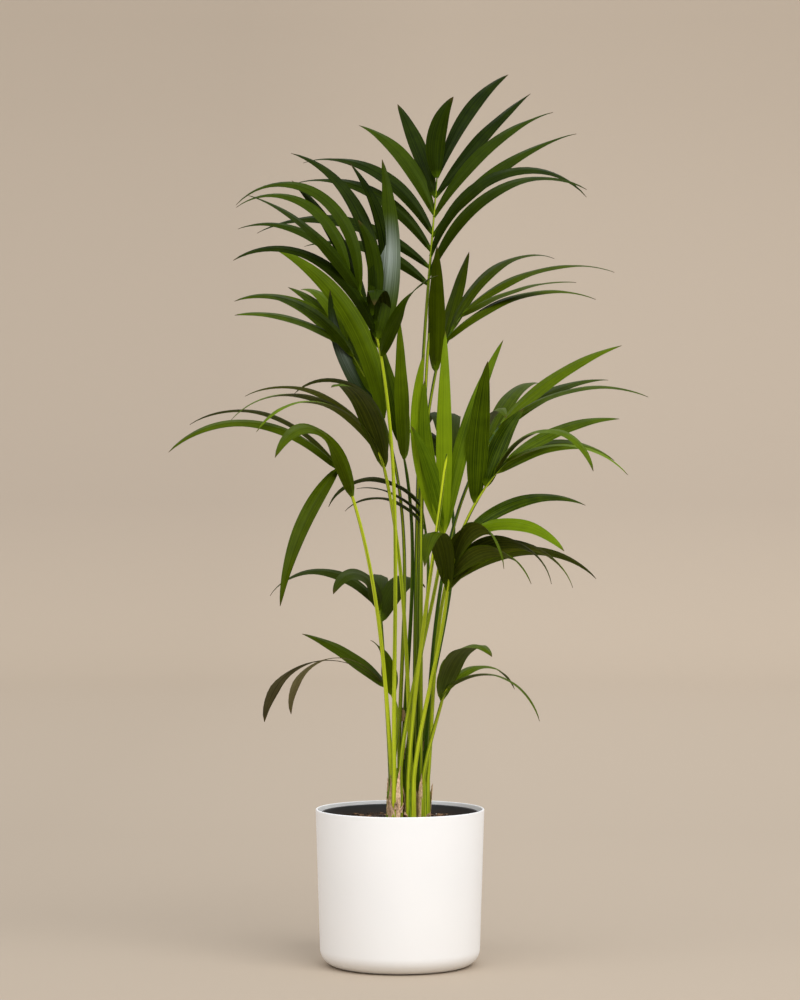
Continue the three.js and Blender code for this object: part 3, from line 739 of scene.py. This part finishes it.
def stalk_stations(leaf, steps, head_radius):
    """Stations up the stem, which the stalk's foot clasps and is widest at the soil, then free to
    the stalk's head; also the free length."""
    x, y, top, _ = STEMS[leaf["stem"]]
    foot = Vector((x, y, 0)) + way(leaf["side"], 0) * STALK_RING
    face = way(leaf["heading"] + 180, 20)
    stations = []
    for step in range(STALK_FOOT_STEPS):
        share = step / STALK_FOOT_STEPS
        height = STEM_ROOT + (top - STEM_ROOT) * share
        radius = STALK_FOOT * (1 + STALK_FOOT_SWELL - STALK_FOOT_SWELL * share)
        point = Vector((foot.x, foot.y, height))
        stations.append((point, Vector((0, 0, 1)), radius, face, height))
    length, last = 0.0, None
    for step, (point, direction) in enumerate(stalk_line(leaf, steps)):
        length += (point - last).length if last else 0
        last = point
        radius = STALK_FOOT + (head_radius - STALK_FOOT) * step / steps
        stations.append((point, direction, radius, face, top + length))
    return stations, length


def stalk_skin(leaf):
    """The stalk from the soil to its head, and on as the midrib."""
    stations, length = stalk_stations(leaf, STALK_STEPS, STALK_HEAD)
    face, top = stations[0][3], STEMS[leaf["stem"]][2]
    steps = max(6, round(leaf["rachis"] / RACHIS_STEP))
    for step, (point, direction) in enumerate(rachis_line(leaf, steps)):
        if step:
            length += leaf["rachis"] / steps
            radius = RACHIS_FOOT + (RACHIS_TIP - RACHIS_FOOT) * step / steps
            stations.append((point, direction, radius, face, top + length))
    return limb_skin(stations, STALK_GROOVE)


# Living stalk: smooth waxy skin in lighter and darker lengths of yellow-green, with faint streaks
# along it about a millimetre apart, and brown scurf that thins out upwards from the foot.
stalk_skin_green, tree, shader = new_material("palm_stalk_waxy_green")
growth = add_node(tree, "UVMap", uv_map="growth")
streaks = drawn_out_noise(tree, growth, 0.02, 0.8, 4)
tone = add_node(tree, "Attribute", attribute_name="tone").outputs["Fac"]
dark = add_node(tree, "Mix", {"Factor": streaks, MIX_A: "162c00", MIX_B: "4c700a"})
bright = add_node(tree, "Mix", {"Factor": streaks, MIX_A: "a0b602", MIX_B: "e8f43c"})
bands = drawn_out_noise(tree, growth, 0.008, 0.22, 2)
swing = add_node(
    tree, "MapRange",
    {"Value": bands, "From Min": 0.34, "From Max": 0.62, "To Min": -0.75, "To Max": 0.2})
# The stalk's tone lightens or darkens all of it; the low tones of the stalks at the back of the
# clump are painted shade.
lightness = add_node(tree, "Math", (tone, swing), operation="ADD", use_clamp=True)
green = add_node(tree, "Mix", {"Factor": lightness, MIX_A: dark, MIX_B: bright})
height_of = add_node(tree, "SeparateXYZ", {"Vector": growth}).outputs["Y"]
scurf_cloud = drawn_out_noise(tree, growth, 0.12, 0.45, 5)
scurf_height = add_node(
    tree, "MapRange",
    {"Value": height_of, "From Min": 255, "From Max": 400, "To Min": 0.04, "To Max": -0.35})
scurf_sum = add_node(tree, "Math", (scurf_cloud, scurf_height), operation="ADD")
scurf = add_node(
    tree, "MapRange", {"Value": scurf_sum, "From Min": 0.55, "From Max": 0.65, "To Max": 0.75})
tint = add_node(tree, "Mix", {"Factor": scurf, MIX_A: green, MIX_B: "8a6b43"})
relief = add_node(tree, "Bump", {"Strength": 0.25, "Distance": 0.0003, "Height": streaks})
set_inputs(
    shader, {"Base Color": tint, "Roughness": 0.34, "Specular IOR Level": 0.2, "Normal": relief})

for name, leaf in FRONDS.items():
    mesh_piece(
        "leaf_stalk_" + name, [(*stalk_skin(leaf), leaf["tone"])], stalk_skin_green,
        ("stalk_" + name,))

# ----------------------
# Leaflets: leathery blades under a millimetre thick, folded up along a raised rib like a low
# roof at the foot, opening nearly flat, with close veins along them and a short drawn-out tip.
LEAFLET_BEND, LEAFLET_FOOT, LEAFLET_TIP = 1.3, 0.12, 2.4
LEAFLET_FULLNESS, LEAFLET_SLIMMING = 0.72, 0.15
LEAFLET_STEPS, LEAFLET_ACROSS, LEAFLET_THICK, RACHIS_PLACES = 24, 4, 0.9, 40
FOLD_FOOT, FOLD_MIDDLE, FOLD_TIP = 0.62, 0.15, 0.2
# Growth across a blade runs from -12 to 12 whatever its width, and 100 on for its underside. Veins
# stand four of these units apart, about 5 mm on a broad blade: the coarsest ones.
BLADE_HALF, UNDERSIDE, VEIN_SPACING = 12, 100, 4


def leaflet_width(u, width, widest):
    """Swells from the foot and slims to the tip."""
    skew = math.log(0.5) / math.log(widest)
    swell = math.sin(math.pi * u ** skew) ** LEAFLET_FULLNESS if 0 < u < 1 else 0
    tip = LEAFLET_TIP * (1 - 0.7 * u)
    return width * (LEAFLET_FOOT * (1 - u) + swell * (1 - LEAFLET_SLIMMING * u)) + tip


def leaflet_skin(foot, face, shape, dice, rolled):
    """The blade's rings, upper side first. A rolled one is shut to a strand and opens crumpled."""
    heading, rise, droop, length = shape["heading"], shape["rise"], shape["droop"], shape["length"]
    wave, phase = dice.uniform(0.02, 0.06), dice.uniform(0, math.tau)
    twist = dice.uniform(-9, 9)
    centre = foot.copy()
    rings, spots = [], []
    for step in range(LEAFLET_STEPS + 1):
        u = step / LEAFLET_STEPS
        direction = way(heading, rise - droop * u ** LEAFLET_BEND)
        normal = face.lerp(Vector((0, 0, 1)), shape["level"] * u)
        across = normal.cross(direction).normalized()
        across.rotate(Matrix.Rotation(math.radians(twist * u), 3, direction))
        through = direction.cross(across)
        half = leaflet_width(u, shape["width"], shape["widest"]) / 2
        fold = FOLD_FOOT * (1 - u) ** 4 + FOLD_MIDDLE + FOLD_TIP * u ** 4
        if rolled:
            opening = min(max((u - 0.5) / 0.3, 0), 1)
            half *= 0.2 + 0.95 * opening
            fold = 1.1 - 0.5 * opening
            wave = 0.05 + 0.3 * opening
        upper, lower, upper_spots, lower_spots = [], [], [], []
        for place in range(-LEAFLET_ACROSS, LEAFLET_ACROSS + 1):
            share = place / LEAFLET_ACROSS
            lift = half * fold * (1 - abs(share)) ** 1.15
            lift += half * wave * math.sin(u * 17 + phase + share) * share ** 2
            point = centre + across * (half * share) + through * lift
            left = length * (1 - u)
            upper.append(point)
            upper_spots.append((BLADE_HALF * share, u * length, left))
            if abs(place) < LEAFLET_ACROSS:
                lower.append(point - through * LEAFLET_THICK * (1 - 0.6 * abs(share)))
                lower_spots.append((BLADE_HALF * share + UNDERSIDE, u * length, left))
        rings.append(upper[::-1] + lower)
        spots.append(upper_spots[::-1] + lower_spots)
        onward = way(heading, rise - droop * ((step + 0.5) / LEAFLET_STEPS) ** LEAFLET_BEND)
        centre = centre + onward * (length / LEAFLET_STEPS)
    return rings, spots


def leaf_material(name, shade, light, underside, foot_colour, roughness, gloss=0.04, painted_highlight_strength=0.0):
    """Leathery blade: raised veins and finer ones between them along it, a yellower foot, a dry
    brown tip and a duller underside. Tone sets each leaflet between the shade and the light
    colour. The last argument sets how strongly a streaked pale patch, a painted sheen that
    stands in for a soft reflection, lies over the middle of the blade's lower half."""
    material, tree, shader = new_material("palm_leaflet_" + name)
    growth = add_node(tree, "UVMap", uv_map="growth")
    parts = add_node(tree, "SeparateXYZ", {"Vector": growth}).outputs
    vein = add_node(tree, "Math", (parts["X"], VEIN_SPACING / 2), operation="PINGPONG")
    ridge = add_node(
        tree, "MapRange", {"Value": vein, "From Max": 0.8, "To Min": 1.0, "To Max": 0.0})
    fine = drawn_out_noise(tree, growth, 0.004, 0.8, 3)
    clouds = add_node(tree, "TexNoise", {"Vector": growth, "Scale": 0.03, "Detail": 3})
    tone = add_node(tree, "Attribute", attribute_name="tone").outputs["Fac"]
    veins = add_node(tree, "Math", (ridge, 0.2, fine), operation="MULTIPLY_ADD")
    mixed = add_node(tree, "Math", (clouds, 0.35, veins), operation="MULTIPLY_ADD")
    spread = add_node(
        tree, "MapRange",
        {"Value": mixed, "From Min": 0.44, "From Max": 1.08, "To Min": -0.22, "To Max": 0.52})
    bright = add_node(tree, "Math", (tone, spread), operation="ADD", use_clamp=True)
    upper = add_node(tree, "Mix", {"Factor": bright, MIX_A: shade, MIX_B: light})
    below = add_node(tree, "Math", (parts["X"], UNDERSIDE / 2), operation="GREATER_THAN")
    dull = add_node(tree, "Mix", {"Factor": bright, MIX_A: underside[0], MIX_B: underside[1]})
    both = add_node(tree, "Mix", {"Factor": below, MIX_A: upper, MIX_B: dull})
    near_foot = add_node(
        tree, "MapRange",
        {"Value": parts["Y"], "From Min": 3, "From Max": 15, "To Min": 0.4, "To Max": 0.0})
    footed = add_node(tree, "Mix", {"Factor": near_foot, MIX_A: both, MIX_B: foot_colour})
    to_tip = add_node(tree, "Attribute", attribute_name="to_tip").outputs["Fac"]
    near_tip = add_node(
        tree, "MapRange",
        {"Value": to_tip, "From Min": 2, "From Max": 13, "To Min": 0.75, "To Max": 0.0})
    tint = add_node(tree, "Mix", {"Factor": near_tip, MIX_A: footed, MIX_B: "4a3c1c"})
    # Painted sheen: a pale streaked patch, strongest along the rib, in place of a soft reflection.
    if painted_highlight_strength:
        rise_of = add_node(
            tree, "MapRange", {"Value": parts["Y"], "From Min": 55, "From Max": 160},
            interpolation_type="SMOOTHSTEP")
        fall_of = add_node(
            tree, "MapRange",
            {"Value": parts["Y"], "From Min": 140, "From Max": 225, "To Min": painted_highlight_strength, "To Max": 0.0},
            interpolation_type="SMOOTHSTEP")
        painted_highlight_patch = add_node(tree, "Math", (rise_of, fall_of), operation="MULTIPLY")
        off_rib = add_node(tree, "Math", (parts["X"],), operation="ABSOLUTE")
        inside = add_node(
            tree, "MapRange",
            {"Value": off_rib, "From Min": 2, "From Max": BLADE_HALF, "To Min": 1.0, "To Max": 0.3})
        painted_highlight_patch = add_node(tree, "Math", (painted_highlight_patch, inside), operation="MULTIPLY")
        streaks = add_node(
            tree, "MapRange",
            {"Value": veins, "From Min": 0.38, "From Max": 0.68, "To Min": 0.35, "To Max": 1.05})
        streaked_painted_highlight = add_node(tree, "Math", (painted_highlight_patch, streaks), operation="MULTIPLY", use_clamp=True)
        tint = add_node(tree, "Mix", {"Factor": streaked_painted_highlight, MIX_A: tint, MIX_B: "b4c0bd"})
    relief = add_node(tree, "Bump", {"Strength": 0.4, "Distance": 0.0005, "Height": veins})
    set_inputs(
        shader,
        {"Base Color": tint, "Roughness": roughness, "Specular IOR Level": gloss, "Normal": relief})
    return material


# Each look's material, the shade and light of its upper side and of its underside, the foot's
# colour and the roughness, and for leaflets with a painted sheen the gloss and how strong it is.
LEAF_LOOKS = {look: leaf_material(*values) for look, values in {
    "green": ("mature", "0a1400", "4f6000", ("141e02", "505e10"), "6f8f0c", 0.45),
    "dark_green": ("mature_dark", "051000", "3a4c00", ("0e1802", "40480e"), "5f7f0c", 0.45),
    "light_green": ("mature_light", "122200", "6c8408", ("202c04", "687420"), "7c980c", 0.45),
    "brown_backed": (
        "mature_brown_backed", "0e1a00", "5c7006", ("1e2806", "60702c"), "7c980c", 0.45),
    # The olive look is painted shade: a darker, duller green for the fronds deep in the clump,
    # small_left, centre_left and back.
    "olive": ("shaded_olive", "0e1602", "3e4c0c", ("162006", "4a5a20"), "6f8f0c", 0.5),
    "young": ("young", "2a4200", "768e0e", ("3c5610", "88a03a"), "a8bc1c", 0.45),
    # The next two looks paint a pale sheen on the blade, a painted highlight: strong and faint.
    "waxy": ("wax_bloom", "081000", "3e5200", ("101a02", "44580c"), "6f8f0c", 0.40, 0.1, 0.7),
    "satin": ("wax_trace", "081000", "344a06", ("101a02", "44580c"), "6f8f0c", 0.40, 0.1, 0.3),
    "dry": ("dried", "22200e", "625a3a", ("2c2814", "6e6644"), "6a5a34", 0.8),
}.items()}

for name, leaf in FRONDS.items():
    dice = random.Random(name)
    skins = {}
    points = rachis_line(leaf, RACHIS_PLACES)
    for leaves in leaf["rows"]:
        look = leaves["look"] or leaf["look"]
        for item in range(leaves["count"]):
            u = item / (leaves["count"] - 1) if leaves["count"] > 1 else 0
            at = along(leaves["at"], u)
            lean = lean_at(leaf, at)
            face = way(leaf["faces"] if leaves["faces"] is None else leaves["faces"], lean)
            shape = {
                key: along(leaves[key], u)
                for key in ("heading", "rise", "droop", "length", "width")}
            shape["level"], shape["widest"] = leaves["level"], leaves["widest"]
            foot = points[round(at * RACHIS_PLACES)][0]
            skin = leaflet_skin(foot, face, shape, dice, look == "dry")
            skins.setdefault(look, []).append((*skin, dice.uniform(0.04, 0.74)))
    for look, parts in skins.items():
        suffix = "_" + look if look in ("waxy", "satin", "dry") else ""
        mesh_piece(
            "leaflets_" + name + suffix, parts, LEAF_LOOKS[look], ("frond_" + name,))

# ----------------------
# Spears: the next fronds, each still rolled tight in its own stalk, pale, with a closed point.
SPEAR_TIP, SPEAR_STEPS, SPEAR_GROOVE, SPEAR_CLOSING = 2.8, 40, 0.15, {-2: 0.85, -1: 0.45}
SPEARS = {
    "spear": ("middle", 200, (80, -115, 892), -30, 8, 0.78),
    "spear_upper": ("outer_right", 180, (50, -40, 1103), 0, 4, 0.5),
}

for name, (stem, side, head, heading, lean, tone_value) in SPEARS.items():
    leaf = dict(stem=stem, side=side, head=head, heading=heading, lean=(lean, lean))
    stations, _ = stalk_stations(leaf, SPEAR_STEPS, SPEAR_TIP)
    for place, closing in SPEAR_CLOSING.items():
        point, direction, radius, *rest = stations[place]
        stations[place] = (point, direction, radius * closing, *rest)
    mesh_piece(
        name + "_leaf", [(*limb_skin(stations, SPEAR_GROOVE), tone_value)], stalk_skin_green,
        (name,))
